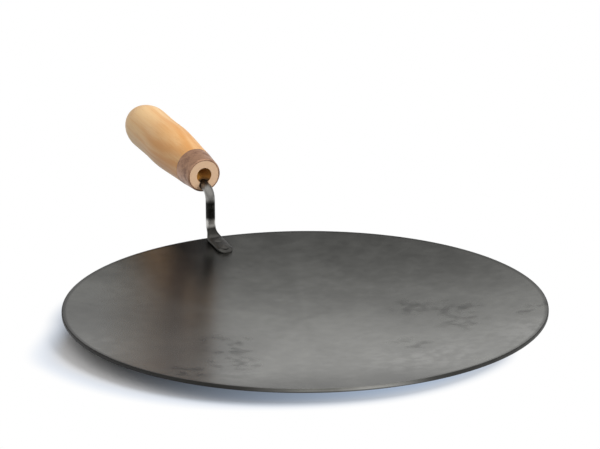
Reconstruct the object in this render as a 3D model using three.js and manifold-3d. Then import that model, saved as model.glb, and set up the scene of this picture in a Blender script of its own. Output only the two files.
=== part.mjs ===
// Tawa: a shallow round griddle pan of steel sheet with a raised, turned wooden grip.
// The grip is carried by a bent steel rod whose flattened foot is riveted inside the rim.
// Millimetres, +Z up. The origin is the middle of the flat that the pan stands on, and +Y runs out along the grip.

import * as THREE from 'three';
import { mergeVertices } from 'three/addons/utils/BufferGeometryUtils.js';
import Module from 'manifold-3d';

// Pan: a dished steel sheet of even thickness
const PAN_DIAMETER = 300;
const DISH_DEPTH = 10; // from the rim's top edge down to the middle of the cooking face
const SHEET_THICKNESS = 2.5;
const BASE_FLAT_DIAMETER = 72; // flat worked into the middle of the underside
const RIM_EDGE_RADIUS = 0.8;
const LARGEST_EDGE_SHARE = 0.45; // of the sheet's thickness, for each of the rim's two rounded corners

// Rod: flat foot, heel bend over the rim, upright, neck bend and the tang inside the grip
const ROD_DIAMETER = 6.2;
const FOOT_LENGTH = 20;
const FOOT_WIDTH = 10.5;
const FOOT_THICKNESS = 2.2;
const HEEL_BEND_RADIUS = 10;
const NECK_BEND_RADIUS = 7;
const NECK_STRAIGHT = 4.5; // from the end of the neck bend to the grip's end face
const TANG_LENGTH = 75; // from the grip's end face to the tang's tip
const TANG_ROOT_DIAMETER = 5.4;
const TANG_TIP_DIAMETER = 3.4;
const TANG_DROP = 6.5; // the tang enters the end face this far below the grip's axis
const TANG_TILT_DEGREES = 5; // and climbs towards that axis inside

// Grip: turned wood, its end held by a tapered steel ferrule
const GRIP_HEIGHT = 51.5; // of the grip's axis at its end face, above the standing surface
const GRIP_PITCH_DEGREES = 4.5; // the grip rises this much outwards
const GRIP_LENGTH = 122.5;
const GRIP_NECK_DIAMETER = 27;
const GRIP_NECK_AT = 27; // from the end face
const GRIP_SWELL_DIAMETER = 30.8;
const GRIP_SWELL_AT = 56; // from the end face
const GRIP_WAIST_DIAMETER = 30.2;
const GRIP_BUTT_DIAMETER = 30.6;
const BUTT_DOME_LENGTH = 24;
const MOUTH_DIAMETER = 10.4; // charred recess in the end face, running into the tang's hole
const MOUTH_DEPTH = 8;
const FERRULE_LENGTH = 17;
const FERRULE_FRONT_DIAMETER = 22.8;
const FERRULE_REAR_DIAMETER = 26;
const FERRULE_WALL = 0.9;

// Rivets: low heads on the foot, set heads under the sheet
const RIVET_SHANK_DIAMETER = 3.6;
const RIVET_HEAD_DIAMETER = 6.4;
const RIVET_HEAD_HEIGHT = 0.8;
const RIVET_TAIL_DIAMETER = 6.2;
const RIVET_TAIL_HEIGHT = 1.3;

// Clearances
const FIT_GAP = 0.3; // between faces that seat on each other
const RIM_CLEARANCE = 0.6; // between the rod's heel and the edge of the rim
const RIVET_MARGIN = 0.5; // between a rivet head and the start of the heel bend
const CUT_OVERSHOOT = 1.2; // a cutter reaches this far past the face that it enters

// Sections of the rod: the exponent of their corners, and the shares of the heel bend where it stops being as
// flat as the foot and where it is round
const FLAT_CORNER = 0.45;
const ROUND_CORNER = 1;
const HEEL_FLAT_TO = 0.05;
const HEEL_ROUND_FROM = 0.65;

// Fineness of the round surfaces
const PAN_SEGMENTS = 96;
const GRIP_SEGMENTS = 40;
const RIVET_SEGMENTS = 20;
const ROD_SIDES = 16;
const ARC_STEPS = 9;
const TIP_STEPS = 6;
const TANG_STEPS = 4;
const EDGE_STEPS = 3;

// Sizes worked out from the driving dimensions
const panRadius = PAN_DIAMETER / 2;
const dishRadius = (panRadius ** 2 + DISH_DEPTH ** 2) / (2 * DISH_DEPTH);
const undersideRadius = dishRadius + SHEET_THICKNESS;
const baseFlatRadius = BASE_FLAT_DIAMETER / 2;
const dishCentreZ = Math.sqrt(undersideRadius ** 2 - baseFlatRadius ** 2);
const rimTopZ = dishCentreZ - Math.sqrt(dishRadius ** 2 - panRadius ** 2);
const rodRadius = ROD_DIAMETER / 2;
const gripPitch = THREE.MathUtils.degToRad(GRIP_PITCH_DEGREES);
const gripDirection = new THREE.Vector2(Math.cos(gripPitch), Math.sin(gripPitch));
const tangPitch = gripPitch + THREE.MathUtils.degToRad(TANG_TILT_DEGREES);
const tangDirection = new THREE.Vector2(Math.cos(tangPitch), Math.sin(tangPitch));
const ferruleFrontRadius = FERRULE_FRONT_DIAMETER / 2;
const ferruleRearRadius = FERRULE_REAR_DIAMETER / 2;

const wasm = await Module();
wasm.setup();

// Closed solids for joins and cuts
function solidOf(geometry) {
  const bare = geometry.clone();
  bare.deleteAttribute('normal');
  bare.deleteAttribute('uv');
  const merged = mergeVertices(bare);
  const mesh = new wasm.Mesh({
    numProp: 3,
    vertProperties: Float32Array.from(merged.attributes.position.array),
    triVerts: Uint32Array.from(merged.index.array),
  });
  mesh.merge();
  return new wasm.Manifold(mesh);
}

function geometryOf(solid) {
  const mesh = solid.getMesh();
  const geometry = new THREE.BufferGeometry();
  geometry.setAttribute('position', new THREE.BufferAttribute(Float32Array.from(mesh.vertProperties), 3));
  geometry.setIndex(new THREE.BufferAttribute(Uint32Array.from(mesh.triVerts), 1));
  geometry.computeVertexNormals();
  return geometry;
}

function cut(geometry, cutters) {
  const solid = cutters.reduce((rest, cutter) => rest.subtract(solidOf(cutter)), solidOf(geometry));
  return geometryOf(solid);
}

function namedMesh(name, geometry, color, roughness, metalness) {
  const mesh = new THREE.Mesh(geometry, new THREE.MeshStandardMaterial({ color, roughness, metalness }));
  mesh.name = name;
  return mesh;
}

// A turned solid whose axis is +Z, from a profile of (radius, height) points
function turned(profile, segments) {
  return new THREE.LatheGeometry(profile, segments).rotateX(Math.PI / 2);
}

// Slope of the dish, in radians, at a distance from the pan's axis
function dishSlope(distance) {
  return Math.asin(distance / dishRadius);
}

// Points of an arc about the dish's centre, from one distance off the axis to another
function dishArc(radius, fromDistance, toDistance) {
  const start = Math.asin(fromDistance / radius) - Math.PI / 2;
  const end = Math.asin(toDistance / radius) - Math.PI / 2;
  const clockwise = end < start;
  return new THREE.EllipseCurve(0, dishCentreZ, radius, radius, start, end, clockwise);
}

// Pan
function panProfile() {
  const edge = Math.min(RIM_EDGE_RADIUS, SHEET_THICKNESS * LARGEST_EDGE_SHARE);
  const underside = dishArc(undersideRadius, baseFlatRadius, panRadius - edge);
  const cookingFace = dishArc(dishRadius, panRadius - edge, 0);
  const undersideRimZ = dishCentreZ - Math.sqrt(undersideRadius ** 2 - panRadius ** 2);
  const lowerCorner = new THREE.QuadraticBezierCurve(
    underside.getPoint(1),
    new THREE.Vector2(panRadius, undersideRimZ),
    new THREE.Vector2(panRadius, undersideRimZ + edge),
  );
  const upperCorner = new THREE.QuadraticBezierCurve(
    new THREE.Vector2(panRadius, rimTopZ - edge),
    new THREE.Vector2(panRadius, rimTopZ),
    cookingFace.getPoint(0),
  );
  const cookingPoints = cookingFace.getPoints(ARC_STEPS).slice(1);
  cookingPoints[cookingPoints.length - 1].x = 0;
  return [
    new THREE.Vector2(0, 0),
    ...underside.getPoints(ARC_STEPS),
    ...lowerCorner.getPoints(EDGE_STEPS).slice(1),
    ...upperCorner.getPoints(EDGE_STEPS),
    ...cookingPoints,
  ];
}

// Rod: its centre line lies in the plane of Y and Z
// The heel bend touches the foot's arc from inside and passes the rim's top corner at RIM_CLEARANCE.
function heelCentreOf(footRadius) {
  const fromDish = footRadius - HEEL_BEND_RADIUS;
  const fromRim = HEEL_BEND_RADIUS + rodRadius + RIM_CLEARANCE;
  const rimAngle = dishSlope(panRadius);
  const swing = Math.acos((fromDish ** 2 + dishRadius ** 2 - fromRim ** 2) / (2 * fromDish * dishRadius));
  const angle = rimAngle - swing;
  return new THREE.Vector2(fromDish * Math.sin(angle), dishCentreZ - fromDish * Math.cos(angle));
}

const footRadius = dishRadius - FIT_GAP - FOOT_THICKNESS / 2;
const heelCentre = heelCentreOf(footRadius);
const heelAngle = Math.atan2(heelCentre.y - dishCentreZ, heelCentre.x);
const footTipAngle = heelAngle - FOOT_LENGTH / footRadius;
const rodY = heelCentre.x + HEEL_BEND_RADIUS;
const neckEndY = rodY + NECK_BEND_RADIUS * (1 - tangDirection.y);
const tangMouthY = neckEndY + NECK_STRAIGHT * tangDirection.x;
const gripFace = new THREE.Vector2(tangMouthY - TANG_DROP * gripDirection.y, GRIP_HEIGHT);
const tangMouth = new THREE.Vector2(tangMouthY, GRIP_HEIGHT - TANG_DROP * gripDirection.x);
const neckEndZ = tangMouth.y - NECK_STRAIGHT * tangDirection.y;
const neckCentre = new THREE.Vector2(rodY + NECK_BEND_RADIUS, neckEndZ - NECK_BEND_RADIUS * tangDirection.x);
const tangTip = tangMouth.clone().addScaledVector(tangDirection, TANG_LENGTH);

// One station of the rod: a point and direction on the centre line, half sizes, and the corner exponent of
// its section, 1 for an ellipse and less for a squarer bar
function station(curve, along, halfWidth, halfHeight, corner) {
  const point = curve.getPoint(along);
  const direction = curve.getTangent(along);
  return { point, direction, halfWidth, halfHeight, corner };
}

function steps(count) {
  return Array.from({ length: count }, (_, index) => (index + 1) / count);
}

function footStations() {
  const curve = new THREE.EllipseCurve(0, dishCentreZ, footRadius, footRadius, footTipAngle, heelAngle);
  const halfWidth = FOOT_WIDTH / 2;
  const halfHeight = FOOT_THICKNESS / 2;
  const tip = steps(TIP_STEPS).map((share) => {
    const turn = (share * Math.PI) / 2;
    const along = (halfWidth * (1 - Math.cos(turn))) / FOOT_LENGTH;
    return station(curve, along, halfWidth * Math.sin(turn), halfHeight, FLAT_CORNER);
  });
  return [...tip, station(curve, 1, halfWidth, halfHeight, FLAT_CORNER)];
}

function heelStations() {
  const curve = new THREE.EllipseCurve(
    heelCentre.x, heelCentre.y, HEEL_BEND_RADIUS, HEEL_BEND_RADIUS, heelAngle, 0,
  );
  return steps(ARC_STEPS).map((along) => {
    const share = THREE.MathUtils.smoothstep(along, HEEL_FLAT_TO, HEEL_ROUND_FROM);
    return station(
      curve,
      along,
      THREE.MathUtils.lerp(FOOT_WIDTH / 2, rodRadius, share),
      THREE.MathUtils.lerp(FOOT_THICKNESS / 2, rodRadius, share),
      THREE.MathUtils.lerp(FLAT_CORNER, ROUND_CORNER, share),
    );
  });
}

function neckStations() {
  const curve = new THREE.EllipseCurve(
    neckCentre.x, neckCentre.y, NECK_BEND_RADIUS, NECK_BEND_RADIUS, Math.PI, Math.PI / 2 + tangPitch, true,
  );
  return [0, ...steps(ARC_STEPS)].map((along) => station(curve, along, rodRadius, rodRadius, ROUND_CORNER));
}

// The tang tapers from the grip's end face to its tip; grown sizes give the hole it sits in
function tangStations(grow, overshoot) {
  const start = tangMouth.clone().addScaledVector(tangDirection, -overshoot);
  const end = tangTip.clone().addScaledVector(tangDirection, grow);
  const curve = new THREE.LineCurve(start, end);
  return [0, ...steps(TANG_STEPS)].map((along) => {
    const radius = THREE.MathUtils.lerp(TANG_ROOT_DIAMETER, TANG_TIP_DIAMETER, along) / 2 + grow;
    return station(curve, along, radius, radius, ROUND_CORNER);
  });
}

// A closed body carried along the stations, with a flat cap at each end
function lofted(stations) {
  const positions = [];
  const indices = [];
  const power = (value, exponent) => Math.sign(value) * Math.abs(value) ** exponent;
  for (const { point, direction, halfWidth, halfHeight, corner } of stations) {
    for (let side = 0; side < ROD_SIDES; side += 1) {
      const turn = (2 * Math.PI * side) / ROD_SIDES;
      const across = halfWidth * power(Math.cos(turn), corner);
      const up = halfHeight * power(Math.sin(turn), corner);
      positions.push(across, point.x - up * direction.y, point.y + up * direction.x);
    }
  }
  for (let ring = 0; ring < stations.length - 1; ring += 1) {
    for (let side = 0; side < ROD_SIDES; side += 1) {
      const here = ring * ROD_SIDES + side;
      const beside = ring * ROD_SIDES + ((side + 1) % ROD_SIDES);
      indices.push(here, here + ROD_SIDES, beside);
      indices.push(beside, here + ROD_SIDES, beside + ROD_SIDES);
    }
  }
  const last = (stations.length - 1) * ROD_SIDES;
  const firstMiddle = stations.length * ROD_SIDES;
  const lastMiddle = firstMiddle + 1;
  for (const { point } of [stations[0], stations[stations.length - 1]]) {
    positions.push(0, point.x, point.y);
  }
  for (let side = 0; side < ROD_SIDES; side += 1) {
    const beside = (side + 1) % ROD_SIDES;
    indices.push(firstMiddle, side, beside);
    indices.push(lastMiddle, last + beside, last + side);
  }
  const geometry = new THREE.BufferGeometry();
  geometry.setAttribute('position', new THREE.Float32BufferAttribute(positions, 3));
  geometry.setIndex(indices);
  geometry.computeVertexNormals();
  return geometry;
}

// Rivets stand square to the dish, one at the foot's round end and one before the heel
function rivetSeats() {
  const fromTip = {
    rivet_inner: FOOT_WIDTH / 2,
    rivet_outer: FOOT_LENGTH - RIVET_HEAD_DIAMETER / 2 - RIVET_MARGIN,
  };
  return Object.entries(fromTip).map(([name, distance]) => {
    const slope = footTipAngle + distance / footRadius + Math.PI / 2;
    const y = dishRadius * Math.sin(slope);
    const z = dishCentreZ - dishRadius * Math.cos(slope);
    return { name, slope, position: new THREE.Vector3(0, y, z) };
  });
}

// Heights are from the cooking face, along the rivet
function rivetGeometry() {
  const shankRadius = RIVET_SHANK_DIAMETER / 2;
  const headRadius = RIVET_HEAD_DIAMETER / 2;
  const tailRadius = RIVET_TAIL_DIAMETER / 2;
  const headSeat = FIT_GAP + FOOT_THICKNESS + FIT_GAP;
  const tailSeat = -SHEET_THICKNESS - FIT_GAP;
  const tail = new THREE.EllipseCurve(0, tailSeat, tailRadius, RIVET_TAIL_HEIGHT, -Math.PI / 2, 0);
  const head = new THREE.EllipseCurve(0, headSeat, headRadius, RIVET_HEAD_HEIGHT, 0, Math.PI / 2);
  const profile = [
    ...tail.getPoints(EDGE_STEPS + 1),
    new THREE.Vector2(shankRadius, tailSeat),
    new THREE.Vector2(shankRadius, headSeat),
    ...head.getPoints(EDGE_STEPS + 1),
  ];
  profile[0].x = 0;
  profile[profile.length - 1].x = 0;
  return turned(profile, RIVET_SEGMENTS);
}

// A drill through the sheet and the foot
function rivetHole({ slope, position }) {
  const radius = RIVET_SHANK_DIAMETER / 2 + FIT_GAP;
  const stack = SHEET_THICKNESS + FIT_GAP + FOOT_THICKNESS;
  const length = stack + 2 * CUT_OVERSHOOT;
  return new THREE.CylinderGeometry(radius, radius, length, RIVET_SEGMENTS)
    .rotateX(Math.PI / 2)
    .translate(0, 0, stack / 2 - SHEET_THICKNESS)
    .rotateX(slope)
    .translate(position.x, position.y, position.z);
}

// Ferrule: its axis is +Y in the grip's own frame, with the end face at zero
function ferruleGeometry() {
  const profile = [
    new THREE.Vector2(ferruleFrontRadius - FERRULE_WALL, 0),
    new THREE.Vector2(ferruleFrontRadius, 0),
    new THREE.Vector2(ferruleRearRadius, FERRULE_LENGTH),
    new THREE.Vector2(ferruleRearRadius - FERRULE_WALL, FERRULE_LENGTH),
    new THREE.Vector2(ferruleFrontRadius - FERRULE_WALL, 0),
  ];
  return new THREE.LatheGeometry(profile, GRIP_SEGMENTS);
}

// Grip: a neck inside the ferrule, a shoulder behind it, a swell, a waist and a domed butt
function gripProfile() {
  const inset = FERRULE_WALL + FIT_GAP;
  const shoulder = FERRULE_LENGTH + FIT_GAP;
  const buttAt = GRIP_LENGTH - BUTT_DOME_LENGTH;
  const body = new THREE.SplineCurve([
    new THREE.Vector2(ferruleRearRadius, shoulder),
    new THREE.Vector2(GRIP_NECK_DIAMETER / 2, GRIP_NECK_AT),
    new THREE.Vector2(GRIP_SWELL_DIAMETER / 2, GRIP_SWELL_AT),
    new THREE.Vector2(GRIP_WAIST_DIAMETER / 2, (GRIP_SWELL_AT + buttAt) / 2),
    new THREE.Vector2(GRIP_BUTT_DIAMETER / 2, buttAt),
  ]);
  const dome = new THREE.EllipseCurve(0, buttAt, GRIP_BUTT_DIAMETER / 2, BUTT_DOME_LENGTH, 0, Math.PI / 2);
  const domePoints = dome.getPoints(ARC_STEPS).slice(1);
  domePoints[domePoints.length - 1].x = 0;
  return [
    new THREE.Vector2(0, 0),
    new THREE.Vector2(ferruleFrontRadius - inset, 0),
    new THREE.Vector2(ferruleRearRadius - inset, shoulder),
    ...body.getPoints(ARC_STEPS + EDGE_STEPS),
    ...domePoints,
  ];
}

// The mouth is a cone, widened past the end face at its own taper
function mouthCone() {
  const radius = (MOUTH_DIAMETER / 2) * (1 + CUT_OVERSHOOT / MOUTH_DEPTH);
  const profile = [
    new THREE.Vector2(0, -CUT_OVERSHOOT),
    new THREE.Vector2(radius, -CUT_OVERSHOOT),
    new THREE.Vector2(0, MOUTH_DEPTH),
  ];
  return new THREE.LatheGeometry(profile, RIVET_SEGMENTS);
}

// Assembly
const tawa = new THREE.Group();
const seats = rivetSeats();
const rivetHoles = seats.map(rivetHole);

const panBlank = turned(panProfile(), PAN_SEGMENTS);
tawa.add(namedMesh('pan', cut(panBlank, rivetHoles), 0x4c4b49, 0.4, 0.9));

const rodBlank = lofted([...footStations(), ...heelStations(), ...neckStations(), ...tangStations(0, 0)]);
tawa.add(namedMesh('handle_rod', cut(rodBlank, rivetHoles), 0x2c2b2a, 0.35, 0.9));

for (const { name, slope, position } of seats) {
  const rivet = namedMesh(name, rivetGeometry(), 0x3a3938, 0.4, 0.9);
  rivet.position.copy(position);
  rivet.rotation.x = slope;
  tawa.add(rivet);
}

const grip = new THREE.Group();
grip.position.set(0, gripFace.x, gripFace.y);
grip.rotation.x = gripPitch;
grip.updateMatrix();
const tangHole = lofted(tangStations(FIT_GAP, CUT_OVERSHOOT)).applyMatrix4(grip.matrix.clone().invert());
const gripBlank = new THREE.LatheGeometry(gripProfile(), GRIP_SEGMENTS);
grip.add(namedMesh('ferrule', ferruleGeometry(), 0x75675a, 0.5, 0.8));
grip.add(namedMesh('wooden_grip', cut(gripBlank, [mouthCone(), tangHole]), 0xd0a26a, 0.5, 0));
tawa.add(grip);

export default tawa;
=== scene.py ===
"""A tawa with a bent rod and a turned wooden grip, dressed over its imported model."""

import math

import bpy
import numpy as np
from bpy.props import FloatProperty, FloatVectorProperty, PointerProperty
from bpy.types import Operator, Panel, PropertyGroup
from mathutils import Matrix, Vector


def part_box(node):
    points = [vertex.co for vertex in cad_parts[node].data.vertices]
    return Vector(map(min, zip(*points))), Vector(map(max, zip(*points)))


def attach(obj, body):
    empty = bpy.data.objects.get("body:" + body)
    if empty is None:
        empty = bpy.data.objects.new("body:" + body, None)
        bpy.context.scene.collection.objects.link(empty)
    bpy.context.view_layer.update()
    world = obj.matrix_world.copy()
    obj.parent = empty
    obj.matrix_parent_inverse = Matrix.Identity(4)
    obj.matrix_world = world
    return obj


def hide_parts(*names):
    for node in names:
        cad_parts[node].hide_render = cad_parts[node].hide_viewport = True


bl_info = {
    "name": "Tawa",
    "version": (1, 0, 0),
    "blender": (4, 5, 0),
    "location": "3D View > Sidebar > Tawa",
    "description": "Builds a dished steel tawa with a riveted rod and a turned wooden grip",
    "category": "Add Mesh",
}

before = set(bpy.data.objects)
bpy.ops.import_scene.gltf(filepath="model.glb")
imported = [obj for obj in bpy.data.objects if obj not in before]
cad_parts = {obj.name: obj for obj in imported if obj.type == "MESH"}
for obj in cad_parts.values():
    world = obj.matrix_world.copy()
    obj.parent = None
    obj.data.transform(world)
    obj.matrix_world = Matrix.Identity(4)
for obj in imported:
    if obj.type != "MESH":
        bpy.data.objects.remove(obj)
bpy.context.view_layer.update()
PAN_LOW, PAN_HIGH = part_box("pan")


def length(label, words, default):
    """A size in metres that a user may change."""
    return FloatProperty(
        name=label, description=words, default=default, min=0.0, unit="LENGTH", precision=5
    )


def angle(label, words, degrees):
    """An angle that a user may change, given in degrees."""
    return FloatProperty(name=label, description=words, default=math.radians(degrees), unit="ROTATION")


def colour(label, words, default):
    """A surface colour that a user may change."""
    return FloatVectorProperty(
        name=label, description=words, default=default, size=3, min=0.0, max=1.0, subtype="COLOR"
    )


class PanSizes(PropertyGroup):
    """Sizes of the dished sheet."""

    diameter: length("Diameter", "Outside of the rim", PAN_HIGH.x - PAN_LOW.x)
    dish: length("Dish depth", "From the rim's top edge to the middle of the cooking face", 0.010)
    sheet: length("Sheet", "Thickness of the steel sheet", 0.0025)
    flat: length("Base flat", "Diameter of the flat that the pan stands on", 0.072)
    edge: length("Edge radius", "Rounding of the rim's corners", 0.0008)


class HandleSizes(PropertyGroup):
    """Sizes of the rod, the ferrule and the grip."""

    rod: length("Rod", "Diameter of the rod", 0.0062)
    foot_length: length("Foot length", "Flattened foot, from its tip to the heel bend", 0.020)
    foot_width: length("Foot width", "Width of the flattened foot", 0.0105)
    foot_thickness: length("Foot thickness", "Thickness of the flattened foot", 0.0022)
    heel: length("Heel bend", "Bend radius over the rim", 0.010)
    neck: length("Neck bend", "Bend radius below the grip", 0.007)
    neck_straight: length("Neck straight", "From the neck bend to the grip's end face", 0.0045)
    tang_length: length("Tang length", "Length of the spike inside the grip", 0.075)
    tang_root: length("Tang root", "Diameter of the spike at the end face", 0.0054)
    tang_tip: length("Tang tip", "Diameter of the spike at its tip", 0.0034)
    tang_drop: length("Tang drop", "How far below the grip's axis the spike enters", 0.0065)
    tang_tilt: angle("Tang tilt", "Climb of the spike towards the grip's axis", 5.0)
    seat: length("Seat gap", "Gap that the packed model keeps under the foot", 0.0003)
    rim_clearance: length("Rim clearance", "Between the heel bend and the rim", 0.0006)
    rivet_margin: length("Rivet margin", "Between a rivet head and the heel bend", 0.0005)
    rivet_head: length("Rivet head", "Diameter of a rivet's low head", 0.0064)
    rivet_head_height: length("Rivet head height", "Height of a rivet's low head", 0.0008)
    rivet_tail: length("Rivet tail", "Diameter of a rivet's set head", 0.0062)
    rivet_tail_height: length("Rivet tail height", "Height of a rivet's set head", 0.0013)
    grip_height: length("Grip height", "Grip's axis at its end face, above the floor", 0.0515)
    grip_pitch: angle("Grip pitch", "Rise of the grip outwards", 4.5)
    grip_length: length("Grip length", "From the end face to the butt", 0.1225)
    neck_diameter: length("Grip neck", "Diameter behind the ferrule", 0.027)
    neck_at: length("Grip neck place", "From the end face to the neck", 0.027)
    swell_diameter: length("Grip swell", "Diameter of the swell", 0.0308)
    swell_at: length("Grip swell place", "From the end face to the swell", 0.056)
    waist_diameter: length("Grip waist", "Diameter of the waist", 0.0302)
    butt_diameter: length("Grip butt", "Diameter where the domed butt starts", 0.0306)
    dome: length("Butt dome", "Length of the domed butt", 0.024)
    mouth: length("Mouth", "Diameter of the scorched recess in the end face", 0.0104)
    mouth_depth: length("Mouth depth", "Depth of the scorched recess", 0.008)
    ferrule_length: length("Ferrule length", "Length of the steel band", 0.017)
    ferrule_front: length("Ferrule front", "Diameter of the band at the end face", 0.0228)
    ferrule_rear: length("Ferrule rear", "Diameter of the band behind", 0.026)
    ferrule_wall: length("Ferrule wall", "Thickness of the band", 0.0009)


class FinishColours(PropertyGroup):
    """Colours of the finishes."""

    steel_dark: colour("Pan, dark", "Darker patches of the seasoned sheet", (0.235, 0.235, 0.219))
    steel_light: colour("Pan, light", "Lighter patches of the seasoned sheet", (0.345, 0.345, 0.323))
    steel_bare: colour("Pan, bare", "Steel where the seasoning has rubbed off", (0.50, 0.495, 0.475))
    # Also the black of painted shade and painted reflections on the sheet, its rim's side face and under the band
    soot_and_shade: colour("Soot", "Burnt-on black of the rim and the underside", (0.022, 0.021, 0.019))
    rod_dark: colour("Rod, dark", "Blackened steel of the rod", (0.018, 0.018, 0.016))
    # Also the colour of the painted highlights on the rod's heel and neck bends
    rod_worn_and_highlight: colour("Rod, worn", "Steel where the blackening has rubbed off", (0.70, 0.685, 0.655))
    band: colour("Ferrule", "Browned steel of the band", (0.50, 0.285, 0.18))
    band_dark: colour("Ferrule, dark", "Oxide patches on the band", (0.22, 0.11, 0.068))
    wood_pale: colour("Wood, pale", "Early wood", (0.88, 0.59, 0.30))
    wood_deep: colour("Wood, deep", "Late wood", (0.74, 0.35, 0.105))
    wood_pore: colour("Wood, pores", "Short dark pores along the grain", (0.36, 0.17, 0.06))
    wood_end: colour("Wood, end grain", "Cut face in the band", (0.80, 0.55, 0.37))
    # This colour is painted shade, darkening the grip's underside
    grip_underside_shade: colour("Smoked wood", "Wood darkened by smoke underneath", (0.060, 0.040, 0.026))
    singed: colour("Singed wood", "Browned wood in the mouth", (0.34, 0.14, 0.02))
    char: colour("Char", "Burnt wood round the rod", (0.012, 0.008, 0.005))


class StageSettings(PropertyGroup):
    """Camera, light and floor."""

    distance: length("Distance", "From the middle of the rim to the camera", 1.8)
    turn: angle("Turn", "How far the grip points to the left of straight away", 24.35)
    elevation: angle("Elevation", "Height of the camera seen from the rim", 18.919)
    pitch: angle("Pitch", "Downward tilt of the camera", 17.365)
    yaw: angle("Yaw", "Sideways aim of the camera", -0.097)
    roll: angle("Roll", "Roll of the camera", 0.306)
    lens: FloatProperty(name="Lens", description="Focal length in millimetres", default=174.86, min=1.0)
    key: FloatProperty(name="Key", description="Strength of the soft key light", default=1.3, min=0.0)
    key_colour: colour("Key colour", "Tint of the key light", (1.0, 0.99, 0.98))
    key_size: angle("Key size", "Apparent size of the key light", 20.0)
    key_height: angle("Key height", "Height of the key light above the floor", 43.0)
    key_side: angle("Key side", "Key light's place to the right of straight away", 106.0)
    fill: FloatProperty(name="Fill", description="Strength of the low fill light", default=1.2, min=0.0)
    fill_colour: colour("Fill colour", "Tint of the fill light", (0.80, 0.90, 1.0))
    fill_size: angle("Fill size", "Apparent size of the fill light", 34.0)
    fill_height: angle("Fill height", "Height of the fill light above the floor", 20.0)
    fill_side: angle("Fill side", "Fill light's place to the right of straight away", 120.0)
    floor: colour("Floor", "Colour of the lit floor beyond the shade", (1.0, 1.0, 1.0))
    # This grey is painted shade: the floor takes it in a disc round the pan
    floor_shaded: colour("Floor, shaded", "Colour of the floor that takes the shade", (0.70, 0.70, 0.71))
    floor_bounce: colour("Floor bounce", "Floor as other surfaces are lit by it", (0.10, 0.10, 0.10))
    shade_from: length("Shade from", "Where the floor starts to turn white, from the shade's middle", 0.131)
    shade_to: length("Shade to", "Where the floor is plain white", 0.156)
    shade_shift: length("Shade shift", "How far the shade's left side is moved to the left", 0.030)
    shade_trim: length("Shade trim", "How much less far the shade reaches behind the pan", 0.022)
    # The floor emits this light itself: a painted light, not a lamp
    shade_colour: colour("Shade colour", "Tint of the light under the pan's right side", (0.64, 0.78, 1.0))
    shade_glow: FloatProperty(
        name="Shade glow", description="Share of that light in the shade", default=0.6, min=0.0, max=1.0
    )


class Wire:
    """A socket of a node tree. Arithmetic on it adds Math nodes, and node() adds any other node."""

    def __init__(self, tree, socket=None):
        self.tree = tree
        self.socket = socket

    def node(self, kind, settings=None, sockets=None, output=0):
        """Add a node of that type: first its settings, then the values or links of its sockets."""
        made = self.tree.nodes.new(kind)
        for name, value in (settings or {}).items():
            if name == "stops":
                ramp = made.color_ramp.elements
                while len(ramp) < len(value):
                    ramp.new(0.5)
                for element, (place, shade) in zip(ramp, value):
                    element.position = place
                    element.color = shade
            else:
                setattr(made, name, value)
        for name, value in (sockets or {}).items():
            if isinstance(value, Wire):
                self.tree.links.new(value.socket, made.inputs[name])
            else:
                made.inputs[name].default_value = value
        return Wire(self.tree, made.outputs[output])

    def math(self, operation, first, second=0.0, third=0.0, clamp=False):
        """A Math node on up to three values."""
        return self.node(
            "ShaderNodeMath",
            {"operation": operation, "use_clamp": clamp},
            {0: first, 1: second, 2: third},
        )

    def __add__(self, other):
        return self.math("ADD", self, other)

    def __radd__(self, other):
        return self.math("ADD", other, self)

    def __sub__(self, other):
        return self.math("SUBTRACT", self, other)

    def __rsub__(self, other):
        return self.math("SUBTRACT", other, self)

    def __mul__(self, other):
        return self.math("MULTIPLY", self, other)

    def __rmul__(self, other):
        return self.math("MULTIPLY", other, self)

    def __truediv__(self, other):
        return self.math("DIVIDE", self, other)

    def __pow__(self, other):
        return self.math("POWER", self, other)

    def ramp(self, low, high):
        """0 below low and 1 above high, smoothly between. High below low turns it round."""
        return self.node(
            "ShaderNodeMapRange",
            {"interpolation_type": "SMOOTHSTEP"},
            {"Value": self, "From Min": low, "From Max": high},
        )

    def blend(self, first, second):
        """Colour mix: first where this value is 0 and second where it is 1."""
        return self.node(
            "ShaderNodeMix", {"data_type": "RGBA"}, {0: self, 6: first, 7: second}, output=2
        )

    def noise(self, scale, detail=4.0, roughness=0.55, distortion=0.0):
        """Noise on this vector."""
        return self.node(
            "ShaderNodeTexNoise",
            None,
            {"Vector": self, "Scale": scale, "Detail": detail, "Roughness": roughness, "Distortion": distortion},
        )

    def stretched(self, scale, turn=(0.0, 0.0, 0.0)):
        """This vector turned, then scaled along each axis."""
        return self.node("ShaderNodeMapping", {"vector_type": "POINT"}, {"Vector": self, "Scale": scale, "Rotation": turn})

    def parts(self):
        """X, Y and Z of this vector."""
        made = self.node("ShaderNodeSeparateXYZ", None, {"Vector": self}).socket.node
        return tuple(Wire(self.tree, made.outputs[axis]) for axis in "XYZ")


def opaque(shade):
    """A colour property with an alpha of one."""
    return (shade[0], shade[1], shade[2], 1.0)


def new_material(name):
    """An empty material: its tree as a wire, and its Principled shader."""
    material = bpy.data.materials.new(name)
    material.use_nodes = True
    return material, Wire(material.node_tree), material.node_tree.nodes["Principled BSDF"]


def set_shader(wire, shader, values):
    """Put the values or links on the shader's sockets."""
    for name, value in values.items():
        if isinstance(value, Wire):
            wire.tree.links.new(value.socket, shader.inputs[name])
        else:
            shader.inputs[name].default_value = value


def bumped(wire, height, depth):
    """A Bump node: height in shares of depth, depth in metres."""
    return wire.node("ShaderNodeBump", None, {"Height": height, "Distance": depth, "Strength": 1.0})


def object_place(wire):
    """Object coordinates."""
    return wire.node("ShaderNodeTexCoord", None, None, output="Object")


# Finishes


# Turns a height above the grip's axis into a share of its radius, positive downwards; it places the painted shade
# under the grip and the band
UNDERSIDE = -68.0
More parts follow.
